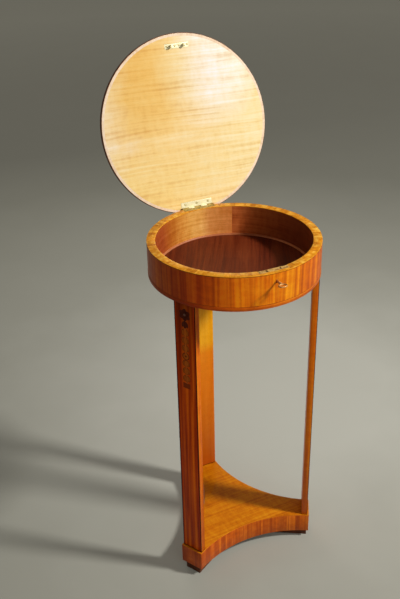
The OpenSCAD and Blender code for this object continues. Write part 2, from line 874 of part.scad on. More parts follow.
module lid_underside_border() {
    color(bead_wood) opened() difference() {
        ring(lid_r - veneer_t, lid_r - veneer_t - lid_border_w, lid_z, veneer_t);
        lid_cuts();
    }
}

drum_carcass();
drum_veneer();
drum_base_band();
rim_crossband();
well_lining_left();
well_lining_right();
well_bead();
well_floor();
leg_back();
leg_front_left();
leg_front_right();
leg_edge_banding();
leg_inlay_dark();
leg_inlay_light();
plinth_sole();
plinth_core();
plinth_edge_veneer();
plinth_top_veneer();
hinge_lower_leaf();
hinge_pin();
hinge_lower_screws();
lock_plate();
lock_case();
lock_screws();
lock_bolt();
key();
lid_core();
lid_edge_band();
lid_top_veneer();
lid_top_crossband();
lid_underside_veneer();
lid_underside_border();
hinge_upper_leaf();
hinge_upper_screws();
link_plate();
link_plate_screws();
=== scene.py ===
import math

import bmesh
import bpy
from mathutils import Matrix, Vector


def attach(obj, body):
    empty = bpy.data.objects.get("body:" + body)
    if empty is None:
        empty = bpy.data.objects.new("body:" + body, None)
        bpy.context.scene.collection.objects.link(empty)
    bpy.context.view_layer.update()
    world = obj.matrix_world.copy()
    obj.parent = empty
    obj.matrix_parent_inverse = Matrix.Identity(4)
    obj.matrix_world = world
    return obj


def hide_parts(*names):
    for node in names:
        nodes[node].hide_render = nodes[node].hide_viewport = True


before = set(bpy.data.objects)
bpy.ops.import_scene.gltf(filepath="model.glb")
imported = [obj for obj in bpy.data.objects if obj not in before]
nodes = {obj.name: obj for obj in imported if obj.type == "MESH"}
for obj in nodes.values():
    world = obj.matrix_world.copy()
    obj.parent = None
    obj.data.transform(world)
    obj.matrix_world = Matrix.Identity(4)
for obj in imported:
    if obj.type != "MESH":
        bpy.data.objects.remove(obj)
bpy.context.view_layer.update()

# Sizes in metres, as the CAD model has them
DRUM_R = 0.170
CARCASS_R = 0.1688
WELL_R = 0.153
DRUM_BASE = 0.681
RIM = 0.751
BAND_H = 0.008
VENEER = 0.0012
LEG_FACE = 0.1675
LEG_T = 0.013
LEG_W = 0.0475
LEG_BAND_W = 0.0045
INLAY_T = 0.001
PLINTH_TOP = 0.066
TENON_T = 0.006
TENON_W = 0.030
TENON_L = 0.018
LID_R = 0.1815
LID_Z = 0.7515
LID_T = 0.010
LID_CROSSBAND = 0.017
KEY_Z = 0.7345

# The lid's hinge line, how far the lid stands open, and the way each leg faces in degrees
HINGE_LINE = Vector((0, 0.170524, 0.7491))
LID_OPEN = math.radians(104.5)
LEGS = {"leg_back": 90, "leg_front_left": -150, "leg_front_right": -30}

# What counts as one spot, as flat, as sharp, as smooth, and as facing one way
SAME_SPOT = 1e-6
FLAT = math.radians(0.5)
SHARP = math.radians(35)
SMOOTH = math.radians(32)
SQUARE_ON = 0.9

# How many sides a round form has
TURNED_SIDES = 48
HOOP_SIDES = 192
DISC_SIDES = 32
LEAF_SIDES = 96
FLOOR_SIDES = 128


# Bench work


def turned_about(spot, angle):
    """A turn about the line through a spot along X."""
    return Matrix.Translation(spot) @ Matrix.Rotation(angle, 4, "X") @ Matrix.Translation(-spot)


def put_down():
    """Nothing stays selected."""
    for thing in list(bpy.context.selected_objects):
        thing.select_set(False)


def pick(piece):
    """Only this piece is selected."""
    put_down()
    piece.select_set(True)
    bpy.context.view_layer.objects.active = piece


def start(name):
    """Names the primitive that was just added and opens it for shaping."""
    piece = bpy.context.active_object
    piece.name = name
    bpy.ops.object.transform_apply(location=True, rotation=True, scale=True)
    bpy.ops.object.mode_set(mode="EDIT")
    bpy.ops.mesh.select_all(action="DESELECT")
    return piece


def block(name, low, high):
    """A block between two corners, opened for shaping."""
    low, high = Vector(low), Vector(high)
    put_down()
    bpy.ops.mesh.primitive_cube_add(size=1, location=(low + high) / 2, scale=high - low)
    return start(name)


def choose_faces(piece, wanted):
    """Selects the faces whose middle and normal pass the test."""
    bpy.ops.mesh.select_mode(type="FACE")
    bpy.ops.mesh.select_all(action="DESELECT")
    mesh = bmesh.from_edit_mesh(piece.data)
    for face in mesh.faces:
        face.select_set(bool(wanted(face.calc_center_median(), face.normal)))
    bmesh.update_edit_mesh(piece.data)


def pull(distance):
    """Extrudes what is selected by a vector."""
    bpy.ops.mesh.extrude_region_move(TRANSFORM_OT_translate={"value": tuple(distance)})


def swell(factors, centre):
    """Widens or narrows what is selected about a centre."""
    bpy.ops.transform.resize(value=factors, center_override=tuple(centre))


def cut_across(point, normal):
    """Cuts every face along a plane."""
    bpy.ops.mesh.select_all(action="SELECT")
    bpy.ops.mesh.bisect(plane_co=tuple(point), plane_no=tuple(normal))


def put_back(piece):
    """Merges what meets and closes the piece."""
    bpy.ops.mesh.select_all(action="SELECT")
    bpy.ops.mesh.remove_doubles(threshold=SAME_SPOT)
    bpy.ops.mesh.normals_make_consistent(inside=False)
    bpy.ops.object.mode_set(mode="OBJECT")
    return piece


def apply_modifier(piece, kind, **settings):
    """Adds a modifier and makes its result the piece's own mesh."""
    pick(piece)
    modifier = piece.modifiers.new(kind.title(), kind)
    for key, value in settings.items():
        setattr(modifier, key, value)
    bpy.ops.object.modifier_apply(modifier=modifier.name)


def ease_edges(piece, width):
    """Rounds the sharp edges as years of handling do. The rounded faces take the second finish."""
    apply_modifier(
        piece,
        "BEVEL",
        width=width,
        segments=2,
        limit_method="ANGLE",
        angle_limit=SHARP,
        use_clamp_overlap=False,
        material=1,
    )


def smooth(piece):
    """Shades the round faces smooth and keeps the edges between flat ones."""
    pick(piece)
    bpy.ops.object.shade_smooth_by_angle(angle=SMOOTH)


def cut_with(piece, tool, operation="DIFFERENCE"):
    """Cuts a piece with another and throws the tool away."""
    apply_modifier(piece, "BOOLEAN", operation=operation, object=tool, solver="EXACT")
    bpy.data.objects.remove(tool)


def joined(name, pieces):
    """The pieces as one, under a new name."""
    pick(pieces[0])
    for piece in pieces[1:]:
        piece.select_set(True)
    bpy.ops.object.join()
    pieces[0].name = name
    return pieces[0]


def copied(piece, name, matrix):
    """Another one with its own mesh, put in its place."""
    other = piece.copy()
    other.data = piece.data.copy()
    other.name = name
    bpy.context.scene.collection.objects.link(other)
    other.data.transform(matrix)
    return other


def from_cad(node, name):
    """A merged copy of a CAD node's mesh, with its flat faces whole, for easing the edges."""
    piece = bpy.data.objects.new(name, nodes[node].data.copy())
    bpy.context.scene.collection.objects.link(piece)
    pick(piece)
    bpy.ops.mesh.customdata_custom_splitnormals_clear()
    bpy.ops.object.mode_set(mode="EDIT")
    bpy.ops.mesh.select_all(action="SELECT")
    bpy.ops.mesh.remove_doubles(threshold=SAME_SPOT)
    bpy.ops.mesh.dissolve_limited(angle_limit=FLAT)
    bpy.ops.object.mode_set(mode="OBJECT")
    return piece


def turned(name, centre, axis, steps):
    """A turned piece: a disc pulled along its axis in steps of (distance from centre, radius)."""
    centre, axis = Vector(centre), Vector(axis)
    put_down()
    along, radius = steps[0]
    bpy.ops.mesh.primitive_circle_add(
        vertices=TURNED_SIDES,
        radius=radius,
        fill_type="NGON",
        location=centre + axis * along,
        rotation=axis.to_track_quat("Z", "Y").to_euler(),
    )
    piece = start(name)
    bpy.ops.mesh.select_all(action="SELECT")
    for next_along, next_radius in steps[1:]:
        pull(axis * (next_along - along))
        swell((next_radius / radius,) * 3, centre + axis * next_along)
        along, radius = next_along, next_radius
    return put_back(piece)


def hoop(name, corners):
    """A ring about the table's axis: a circle pulled round the corners (radius, height) of its section."""
    put_down()
    radius, height = corners[0]
    bpy.ops.mesh.primitive_circle_add(
        vertices=HOOP_SIDES, radius=radius, fill_type="NOTHING", location=(0, 0, height)
    )
    piece = start(name)
    bpy.ops.mesh.select_all(action="SELECT")
    for next_radius, next_height in corners[1:] + corners[:1]:
        bpy.ops.mesh.extrude_edges_move(TRANSFORM_OT_translate={"value": (0, 0, next_height - height)})
        swell((next_radius / radius, next_radius / radius, 1), (0, 0, 0))
        radius, height = next_radius, next_height
    return put_back(piece)


def give(piece, *finishes):
    """Puts the finishes in the piece's material slots."""
    piece.data.materials.clear()
    for finish in finishes:
        piece.data.materials.append(finish)


def place(piece, body, slot, *stands_for):
    """Sends a finished piece out with its body."""
    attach(piece, body)
    if stands_for:
        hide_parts(*stands_for)


# Finishes, node by node


def tone(red, green, blue):
    """A colour from its 0 to 255 numbers."""
    return tuple((c / 255) ** 2.2 for c in (red, green, blue))


def lighter(tones, share):
    """The same tones where wear has thinned the colour."""
    return tuple(tuple(min(1.0, c * share) for c in t) for t in tones)


class NodeWork:
    """The nodes of one material or world. A colour is given as three numbers and is always opaque."""

    def __init__(self, tree):
        self.nodes, self.links = tree.nodes, tree.links
        self.nodes.clear()

    def feed(self, socket, value):
        """Links another node's socket, or sets a number, vector or colour."""
        if isinstance(value, bpy.types.NodeSocket):
            self.links.new(value, socket)
        elif socket.type == "RGBA":
            socket.default_value = (*value, 1)
        else:
            socket.default_value = value

    def add(self, kind, inputs, **settings):
        node = self.nodes.new(kind)
        for key, value in settings.items():
            setattr(node, key, value)
        for key, value in inputs.items():
            self.feed(node.inputs[key], value)
        return node

    def maths(self, operation, *values):
        return self.add("ShaderNodeMath", dict(enumerate(values)), operation=operation).outputs[0]

    def plus(self, a, b):
        return self.maths("ADD", a, b)

    def minus(self, a, b):
        return self.maths("SUBTRACT", a, b)

    def times(self, a, b):
        return self.maths("MULTIPLY", a, b)

    def distance(self, x, y):
        """How far from the middle a point with these two coordinates lies."""
        return self.maths("SQRT", self.plus(self.times(x, x), self.times(y, y)))

    def spread(self, value, low, high, to_low=0.0, to_high=1.0):
        """The value's range from low to high, stretched to another range."""
        ends = {"From Min": low, "From Max": high, "To Min": to_low, "To Max": to_high}
        return self.add("ShaderNodeMapRange", {"Value": value, **ends}).outputs[0]

    def object_place(self):
        return self.add("ShaderNodeTexCoord", {}).outputs["Object"]

    def moved(self, vector, turn=(0, 0, 0), shift=(0, 0, 0), scale=(1, 1, 1)):
        change = {"Rotation": turn, "Location": shift, "Scale": scale}
        return self.add("ShaderNodeMapping", {"Vector": vector, **change}).outputs[0]

    def split(self, vector):
        return self.add("ShaderNodeSeparateXYZ", {0: vector}).outputs

    def vector(self, x, y, z):
        return self.add("ShaderNodeCombineXYZ", {0: x, 1: y, 2: z}).outputs[0]

    def round_place(self, vector, radius):
        """Length round the axis, distance from it, and height."""
        x, y, z = self.split(vector)
        angle = self.maths("ARCTAN2", y, x)
        return self.times(angle, radius), self.distance(x, y), z

    def noise(self, vector, scale, detail, roughness=0.5):
        """A cloudy pattern with so many clouds to a metre along X, Y and Z."""
        look = {"Scale": 1.0, "Detail": detail, "Roughness": roughness}
        place = self.moved(vector, scale=scale)
        return self.add("ShaderNodeTexNoise", {"Vector": place, **look}, normalize=True).outputs["Fac"]

    def ramp(self, factor, stops):
        """The colours at their positions from 0 to 1, blended between them."""
        node = self.add("ShaderNodeValToRGB", {"Fac": factor})
        marks = node.color_ramp.elements
        while len(marks) < len(stops):
            marks.new(0.5)
        for mark, (position, colour) in zip(marks, stops):
            mark.position = position
            mark.color = (*colour, 1)
        return node.outputs["Color"]

    def blend(self, kind, factor, a, b):
        """Two colours, which are the node's sockets 6 and 7, blended by a factor."""
        node = self.add("ShaderNodeMix", {0: factor, 6: a, 7: b}, data_type="RGBA", blend_type=kind)
        return node.outputs[2]

    def tinted(self, colour, tint):
        return self.blend("MULTIPLY", 1.0, colour, tint)

    def seen(self):
        """1 for what the camera sees or a glossy surface mirrors, 0 for what lights the table."""
        path = self.add("ShaderNodeLightPath", {}).outputs
        return self.maths("MAXIMUM", path["Is Camera Ray"], path["Is Glossy Ray"])


class Finish(NodeWork):
    """One material, with a shader to dress."""

    def __init__(self, name):
        self.material = bpy.data.materials.new(name)
        self.material.use_nodes = True
        super().__init__(self.material.node_tree)
        self.shader = self.add("ShaderNodeBsdfPrincipled", {})
        self.add("ShaderNodeOutputMaterial", {"Surface": self.shader.outputs["BSDF"]})

    def shut_place(self, lid):
        """A point's place on the table, for the lid's pieces as if the lid were shut."""
        if not lid:
            return self.object_place()
        shut = turned_about(HINGE_LINE, LID_OPEN)
        return self.moved(self.object_place(), turn=(LID_OPEN, 0, 0), shift=shut.to_translation())

    def dress(self, inputs):
        for key, value in inputs.items():
            self.feed(self.shader.inputs[key], value)

    def raised(self, strength, distance, height):
        """Fine relief, as the shader's normal."""
        relief = {"Strength": strength, "Distance": distance, "Height": height}
        return self.add("ShaderNodeBump", relief).outputs[0]


# How the grain lies: each gives a vector with the grain along its third number


def along_x(finish, vector):
    """From left to right."""
    x, y, z = finish.split(vector)
    return finish.vector(y, z, x)


def upright(finish, vector):
    """Up and down a flat board."""
    return vector


def upright_round(radius):
    """Up and down a round wall."""

    def lay(finish, vector):
        arc, out, z = finish.round_place(vector, radius)
        return finish.vector(arc, out, z)

    return lay


def radial(radius):
    """Outwards from the axis, as in a crossband."""

    def lay(finish, vector):
        arc, out, z = finish.round_place(vector, radius)
        return finish.vector(arc, z, out)

    return lay


def running_round(radius):
    """Round the axis."""

    def lay(finish, vector):
        arc, out, z = finish.round_place(vector, radius)
        return finish.vector(z, out, arc)

    return lay


def slanting(degrees):
    """Level, and turned away from left to right by an angle."""

    def lay(finish, vector):
        return along_x(finish, finish.moved(vector, turn=(0, 0, -math.radians(degrees))))

    return lay


# Painted light and shade over a wood: tints of red, green and blue that multiply its colour

X, Z = 0, 2


def tint_along(axis, low, high, stops):
    """A tint that changes along X or Z, from one place to another."""

    def shading(finish, place):
        return finish.ramp(finish.spread(finish.split(place)[axis], low, high), stops)

    return shading


# The drum's veneer is painted with light and shade: brighter across its front, darker and redder at its left
# side, which is in shade, and a little darker at its right, where the lamp falls hardest
painted_light_on_drum = tint_along(
    X,
    -DRUM_R,
    DRUM_R,
    [
        (0.0, (0.74, 0.48, 0.36)),
        (0.06, (0.70, 0.34, 0.28)),
        (0.12, (1.0, 0.5, 0.40)),
        (0.155, (1.38, 0.92, 0.44)),
        (0.22, (1.38, 0.98, 0.46)),
        (0.30, (1.38, 1.22, 0.56)),
        (0.36, (1.24, 1.10, 0.6)),
        (0.5, (1.20, 1.24, 0.95)),
        (0.64, (1.08, 1.14, 0.9)),
        (0.76, (1.0, 0.88, 0.72)),
        (1.0, (0.84, 0.70, 0.5)),
    ],
)

# The plinth's edge is painted with shade, redder and darker towards its left corner, and with light, brighter
# towards its right
painted_shade_left = tint_along(
    X,
    -DRUM_R,
    DRUM_R,
    [
        (0.0, (0.76, 0.48, 0.4)),
        (0.1, (0.84, 0.6, 0.45)),
        (0.3, (1.1, 0.98, 0.75)),
        (1.0, (1.12, 1.08, 0.9)),
    ],
)

# The well's dark lining is painted darker from its seam towards the right, painted shade where the lamp's
# light only grazes it
painted_shade_right = tint_along(
    X,
    0,
    WELL_R,
    [
        (0.5, (1, 1, 1)),
        (0.69, (0.62, 0.64, 0.6)),
        (0.83, (0.44, 0.44, 0.44)),
        (1.0, (0.26, 0.22, 0.3)),
    ],
)

# The well's tan lining is painted with a bright sheen, a painted highlight, below the hinge, and is redder
# and darker towards the left
painted_sheen_behind = tint_along(
    X,
    -WELL_R,
    WELL_R,
    [
        (0.16, (0.58, 0.28, 0.45)),
        (0.26, (0.74, 0.54, 0.42)),
        (0.35, (1.04, 1.06, 1.2)),
        (0.42, (1.2, 1.42, 2.0)),
        (0.50, (1.3, 1.56, 2.5)),
        (0.56, (1.08, 1.0, 1.5)),
        (0.63, (1.12, 1.0, 1.45)),
        (0.75, (1.3, 1.0, 1.35)),
    ],
)

# The front legs' sides are redder and darker towards the foot, and darker below the drum, painted shade from
# the drum
shaded_leg_sides = tint_along(
    Z,
    PLINTH_TOP,
    DRUM_BASE,
    [
        (0.0, (0.84, 0.62, 0.5)),
        (0.45, (0.95, 0.86, 0.7)),
        (1.0, (0.86, 0.70, 0.5)),
    ],
)

# The back leg is painted dark and red below and golden above this share of its height, a painted fall of
# light that is brightest high on the leg
GOLD_FROM = 0.53
painted_light_up = tint_along(
    Z,
    PLINTH_TOP,
    DRUM_BASE,
    [
        (0.0, (0.58, 0.25, 0.2)),
        (0.35, (0.88, 0.50, 0.4)),
        (GOLD_FROM, (0.94, 0.60, 0.5)),
        (GOLD_FROM + 0.05, (1, 1, 1)),
    ],
)

# The legs' faces are painted brightest halfway, painted light, and dark below the drum, painted shade
face_light_and_shade = tint_along(
    Z,
    PLINTH_TOP,
    DRUM_BASE,
    [
        (0.0, (0.95, 1.1, 1)),
        (0.2, (1.0, 1.05, 1)),
        (0.35, (1.27, 1.42, 1.1)),
        (0.7, (1.27, 1.38, 1)),
        (0.85, (0.95, 1, 1)),
        (1.0, (0.5, 0.58, 0.7)),
    ],
)


# Broad clouds that make the edges of a patch uneven, on the lid and on the floor
LID_CLOUDS = (9, 9, 9), 3
FLOOR_CLOUDS = (4, 4, 4), 3

# The golden patch of the lid's underside and its painted highlight, seen with the lid shut: place and reach
GOLDEN_AT, GOLDEN_REACH = (-0.078, -0.12), 0.25
HIGHLIGHT_AT, HIGHLIGHT_REACH = (0.06, -0.115), 0.13


def patch(finish, place, middle, reach, sway, stops):
    """Colours that change outwards from a spot, as far as reach, with an uneven edge."""
    x, y, z = finish.split(finish.moved(place, shift=(-middle[0], -middle[1], 0)))
    away = finish.plus(finish.distance(x, y), finish.times(sway, 0.3))
    return finish.ramp(finish.spread(away, 0, reach), stops)


def faded_lid_with_highlights(finish, place):
    """The lid's underside: golden in its front left part, with a painted highlight to the right of that and
    painted sheen towards its left and right edges.
    """
    cloud = finish.noise(place, *LID_CLOUDS)
    sway = finish.times(finish.minus(cloud, 0.5), 0.22)
    x, y, z = finish.split(place)
    # Painted sheen: whitish at the left edge and faint at the right
    across = finish.ramp(
        finish.spread(finish.plus(x, sway), -LID_R, LID_R),
        [
            (0.0, (1.0, 1.1, 1.7)),
            (0.17, (0.99, 0.93, 0.8)),
            (0.4, (1.0, 0.95, 0.84)),
            (0.62, (0.98, 0.98, 1.04)),
            (0.9, (0.96, 0.99, 1.16)),
        ],
    )
    golden = patch(
        finish,
        place,
        GOLDEN_AT,
        GOLDEN_REACH,
        sway,
        [
            (0.0, (0.89, 0.77, 0.48)),
            (0.32, (0.94, 0.89, 0.78)),
            (0.6, (1.0, 1.05, 1.3)),
            (1.0, (1.03, 1.13, 1.36)),
        ],
    )
    # The palest patch is a painted highlight where the polish mirrors the lamp
    pale = patch(
        finish,
        place,
        HIGHLIGHT_AT,
        HIGHLIGHT_REACH,
        sway,
        [
            (0.0, (1.02, 1.24, 2.3)),
            (0.5, (1.02, 1.2, 1.95)),
            (1.0, (1, 1, 1)),
        ],
    )
    return finish.tinted(finish.tinted(across, golden), pale)


# A wood's patterns: clouds to a metre, twice across and once along the grain, their detail and its strength
SWAY = (6, 6, 2.5), 2
FIBRES = (1300, 1300, 28), 3, 0.6
LINES = (170, 170, 3.2), 4, 0.62
MOTTLE = (45, 45, 95), 3, 0.55
BROAD = (16, 16, 5), 2
RIBBONS = (112, 112, 2.4), 1
PORES = (2300, 2300, 150), 1

# How far the grain sways, how much the broad clouds count, and where the mix is darkest and lightest
SWAY_BY = 0.03
BROAD_SHARE = 0.25
DARK_AT, LIGHT_AT = 0.34, 0.66
GROUND_AT = 0.45

# Where a ribbon is darkest and lightest, and how much of red, green and blue a dark one takes away
RIBBON_DARK_AT, RIBBON_LIGHT_AT = 0.32, 0.66
RIBBON_DEPTH = (0.5, 0.68, 0.75)

# Where in their pattern the pores open and are deepest, and how dark they are
PORE_OPENS, PORE_DEEPEST = 0.62, 0.72
PORE_SHADE = 0.35

# Strips that a crossband is laid from: length to width, shift of the figure, darkest and lightest tint
STRIP_LONG = 4
STRIP_SHIFT = 0.3
STRIP_TINTS = ((0.80, 0.72, 0.62), (1.10, 1.12, 1.15))

# A brass's patterns: clouds of tarnish, specks, and rubbing marks drawn out along Z
TARNISH = (130, 130, 130), 4, 0.6
SPECKS = (900, 900, 900), 2
RUBBING = (400, 400, 40), 2


def wood(
    name,
    tones,
    lay,
    lid=False,
    strip=None,
    strip_tints=STRIP_TINTS,
    fibre=0.25,
    streak=0.45,
    figure=0.30,
    ribbon=0.0,
    pores=0.3,
    roughness=0.36,
    gloss=0.22,
    polish=0.0,
    shading=None,
    seed=0.0,
):
    """A polished wood. Tones run from its dark lines to its lights, and lay says how the grain lies."""
    f = Finish(name)
    spot = f.shut_place(lid)
    x, y, z = f.split(lay(f, spot))
    if strip:
        cell = f.vector(f.maths("DIVIDE", x, strip), f.maths("DIVIDE", y, strip * STRIP_LONG), seed)
        cells = f.add("ShaderNodeTexVoronoi", {"Vector": cell, "Scale": 1.0}, voronoi_dimensions="2D")
        chance = f.add("ShaderNodeSeparateColor", {"Color": cells.outputs["Color"]}).outputs
        z = f.plus(z, chance[1])
        x = f.plus(x, f.times(chance[2], STRIP_SHIFT))
    x = f.plus(x, seed)
    sway = f.noise(f.vector(x, y, z), *SWAY)
    board = f.vector(f.plus(x, f.times(f.minus(sway, 0.5), SWAY_BY)), y, z)
    fine = f.noise(board, *FIBRES)
    lines = f.noise(board, *LINES)
    mottle = f.noise(board, *MOTTLE)
    broad = f.noise(board, *BROAD)
    mixed = f.times(fine, fibre)
    for pattern, share in ((lines, streak), (mottle, figure), (broad, BROAD_SHARE)):
        mixed = f.plus(mixed, f.times(pattern, share))
    if ribbon:
        ribbons = f.noise(board, *RIBBONS)
        mixed = f.plus(mixed, f.times(ribbons, ribbon))
    weight = fibre + streak + figure + ribbon + BROAD_SHARE
    factor = f.spread(mixed, weight * DARK_AT, weight * LIGHT_AT)
    colour = f.ramp(factor, [(0.0, tones[0]), (GROUND_AT, tones[1]), (1.0, tones[2])])
    if ribbon:
        deep = tuple(1 - share * ribbon for share in RIBBON_DEPTH)
        light = f.spread(ribbons, RIBBON_DARK_AT, RIBBON_LIGHT_AT)
        colour = f.tinted(colour, f.ramp(light, [(0.0, deep), (1.0, (1, 1, 1))]))
    if strip:
        colour = f.tinted(colour, f.ramp(chance[0], [(0.0, strip_tints[0]), (1.0, strip_tints[1])]))
    if shading:
        colour = f.tinted(colour, shading(f, spot))
    holes = f.spread(f.noise(board, *PORES), PORE_OPENS, PORE_DEEPEST, 0.0, pores)
    relief = f.minus(f.times(fine, 0.5), holes)
    f.dress(
        {
            "Base Color": f.blend("MIX", holes, colour, tuple(c * PORE_SHADE for c in tones[0])),
            "Roughness": f.spread(lines, 0.3, 0.7, roughness - 0.05, roughness + 0.07),
            "Normal": f.raised(0.25, 0.0001, relief),
            "Specular IOR Level": gloss,
            "Coat Weight": polish,
            "Coat Roughness": 0.22,
        }
    )
    return f.material


def brass(name, bright, dull, rubbed=0.5, roughness=0.34, metal=0.9, lid=False):
    """Brass with clouds of tarnish, specks and rubbing marks."""
    f = Finish(name)
    spot = f.shut_place(lid)
    cloud = f.noise(spot, *TARNISH)
    specks = f.noise(spot, *SPECKS)
    marks = f.noise(spot, *RUBBING)
    worn = f.plus(f.times(cloud, 0.75), f.times(specks, 0.25))
    tarnish = f.spread(worn, rubbed - 0.13, rubbed + 0.13)
    f.dress(
        {
            "Base Color": f.ramp(tarnish, [(0.0, bright), (1.0, dull)]),
            "Roughness": f.spread(f.plus(tarnish, marks), 0.2, 1.6, roughness, roughness + 0.22),
            "Normal": f.raised(0.2, 0.00006, f.plus(specks, marks)),
            "Metallic": metal,
        }
    )
    return f.material


# The woods' tones: the dark lines, the ground and the lights of each
SATIN = (tone(180, 76, 2), tone(222, 114, 4), tone(244, 158, 28))
GOLDEN = (tone(164, 84, 6), tone(218, 138, 22), tone(250, 200, 84))
PLINTH_GOLD = (tone(154, 70, 2), tone(194, 108, 5), tone(216, 142, 22))
LEG_GOLD = (tone(222, 136, 10), tone(244, 164, 22), tone(252, 186, 56))
BAND = (tone(134, 52, 6), tone(186, 88, 14), tone(216, 124, 36))
RED = (tone(150, 60, 8), tone(204, 98, 16), tone(236, 140, 42))
FACE_RED = (tone(138, 32, 2), tone(204, 72, 6), tone(232, 108, 20))
PALE = (tone(224, 166, 80), tone(247, 206, 122), tone(252, 222, 154))
BORDER = (tone(216, 176, 136), tone(238, 208, 174), tone(250, 228, 202))
LID_EDGE = (tone(70, 34, 18), tone(106, 60, 36), tone(136, 84, 52))
MAHOGANY = (tone(64, 18, 4), tone(104, 38, 10), tone(138, 62, 22))
WELL_FLOOR = (tone(56, 16, 5), tone(92, 35, 12), tone(122, 56, 24))
LINING_DARK = (tone(146, 62, 24), tone(200, 104, 50), tone(228, 136, 72))
LINING = (tone(158, 86, 26), tone(204, 130, 48), tone(232, 168, 80))
BEAD = (tone(120, 60, 32), tone(166, 96, 58), tone(200, 130, 90))
DARK = (tone(22, 9, 3), tone(40, 17, 7), tone(60, 27, 11))
LINE = (tone(84, 34, 6), tone(116, 52, 10), tone(140, 70, 18))
SOLE = (tone(46, 22, 12), tone(80, 42, 24), tone(108, 62, 38))
BANDING = (tone(136, 32, 4), tone(176, 52, 8), tone(198, 74, 18))
TABLET = (tone(106, 34, 4), tone(134, 50, 6), tone(156, 68, 14))
EDGE_LINE = (tone(26, 9, 3), tone(50, 17, 5), tone(72, 28, 10))
INLAY = (tone(146, 62, 8), tone(186, 90, 18), tone(214, 120, 36))
INLAY_SHADED = (tone(150, 60, 16), tone(194, 88, 30), tone(216, 116, 50))
INLAY_LINE = (tone(74, 28, 6), tone(100, 42, 10), tone(124, 58, 20))
INLAY_GREY = (tone(96, 60, 50), tone(124, 88, 76), tone(146, 112, 98))
INLAY_DARK = (tone(62, 22, 12), tone(88, 36, 20), tone(112, 52, 32))

# The radii at which the grain of the round parts measures its length round the axis
RIM_ROUND = 0.1615
WALL_ROUND = 0.16
CROSSBAND_ROUND = 0.170
BORDER_ROUND = 0.177

# Woods of the drum
drum_satin = wood(
    "satinwood_drum",
    SATIN,
    upright_round(DRUM_R),
    streak=0.55,
    figure=0.4,
    ribbon=0.6,
    shading=painted_light_on_drum,
    seed=0.37,
)
rim_satin = wood(
    "satinwood_rim",
    GOLDEN,
    radial(RIM_ROUND),
    strip=0.009,
    strip_tints=((0.80, 0.73, 0.56), (1.04, 1.06, 1.12)),
    streak=0.3,
    figure=0.8,
    seed=1.2,
)
rim_worn = wood("satinwood_rim_worn", lighter(GOLDEN, 1.2), radial(RIM_ROUND), seed=1.2)
# The base band takes the drum's painted light and shade
round_drum = {"lay": running_round(DRUM_R), "shading": painted_light_on_drum, "seed": 2.1}
band_red = wood("satinwood_band", BAND, figure=0.2, **round_drum)
band_worn = wood("satinwood_band_worn", lighter(BAND, 1.2), **round_drum)
carcass_wood = wood("mahogany_carcass", MAHOGANY, running_round(WALL_ROUND), seed=10.5)
floor_wood = wood(
    "mahogany_floor", WELL_FLOOR, slanting(62), figure=0.08, streak=0.5, roughness=0.55, seed=11.3
)
round_well = {"lay": running_round(WELL_R), "roughness": 0.42}
lining_dark = wood("mahogany_lining", LINING_DARK, shading=painted_shade_right, seed=12.2, **round_well)
lining_tan = wood(
    "mahogany_lining_tan", LINING, figure=0.25, shading=painted_sheen_behind, seed=12.9, **round_well
)
bead_wood = wood("bead_wood", BEAD, running_round(WELL_R), figure=0.1, seed=13.4)
dark_round = wood("dark_stringing", LINE, running_round(DRUM_R), figure=0.1, seed=15.8)

# Woods of the legs and their inlay, all upright
leg_satin = wood(
    "satinwood_leg", SATIN, upright, streak=0.45, figure=0.22, ribbon=0.2, shading=shaded_leg_sides, seed=0.9
)
leg_gold = wood(
    "satinwood_leg_back", LEG_GOLD, upright, figure=0.25, ribbon=0.1, shading=painted_light_up, seed=1.6
)
leg_worn = wood("satinwood_leg_worn", lighter(SATIN, 1.25), upright, seed=0.9)
# leg_face's FACE_RED is darker and redder than SATIN, partly the faces' own veneer and partly painted shade
leg_face = wood(
    "satinwood_leg_face",
    FACE_RED,
    upright,
    streak=0.7,
    figure=0.1,
    ribbon=0.75,
    gloss=0.08,
    shading=face_light_and_shade,
    seed=3.3,
)
dull_upright = {"lay": upright, "gloss": 0.08}
banding_wood = wood("rosewood_banding", BANDING, figure=0.1, seed=15.1, **dull_upright)
banding_worn = wood("rosewood_banding_worn", lighter(BANDING, 1.5), upright, figure=0.1, seed=15.1)
ebony = wood("dark_edge_line", EDGE_LINE, figure=0.1, seed=15.5, **dull_upright)
inlay_wood = wood("boxwood_inlay", INLAY, upright, strip=0.012, figure=0.15, gloss=0.1, seed=17.6)
inlay_shaded = wood("shaded_inlay", INLAY_SHADED, figure=0.15, seed=17.9, **dull_upright)
inlay_line = wood("inlay_line", INLAY_LINE, figure=0.15, seed=17.8, **dull_upright)
inlay_grey = wood("grey_inlay", INLAY_GREY, figure=0.15, seed=18.0, **dull_upright)
inlay_dark = wood("dark_inlay", INLAY_DARK, figure=0.15, seed=18.2, **dull_upright)
tablet_wood = wood("tablet_inlay", TABLET, figure=0.1, seed=18.6, **dull_upright)

# Woods of the plinth
plinth_satin = wood("satinwood_plinth_top", PLINTH_GOLD, slanting(1), figure=0.35, seed=4.1)
plinth_top_worn = wood("satinwood_plinth_top_worn", lighter(PLINTH_GOLD, 1.15), slanting(1), seed=4.1)
plinth_red = wood(
    "satinwood_plinth_edge",
    RED,
    upright,
    strip=0.012,
    strip_tints=((0.70, 0.60, 0.5), (1.10, 1.16, 1.2)),
    ribbon=0.3,
    shading=painted_shade_left,
    seed=5.7,
)
plinth_worn = wood("satinwood_plinth_worn", lighter(RED, 1.25), upright, seed=5.7)
core_wood = wood("mahogany_core", MAHOGANY, along_x, seed=14.8)
sole_wood = wood("dark_sole", SOLE, along_x, roughness=0.6, seed=16.5)

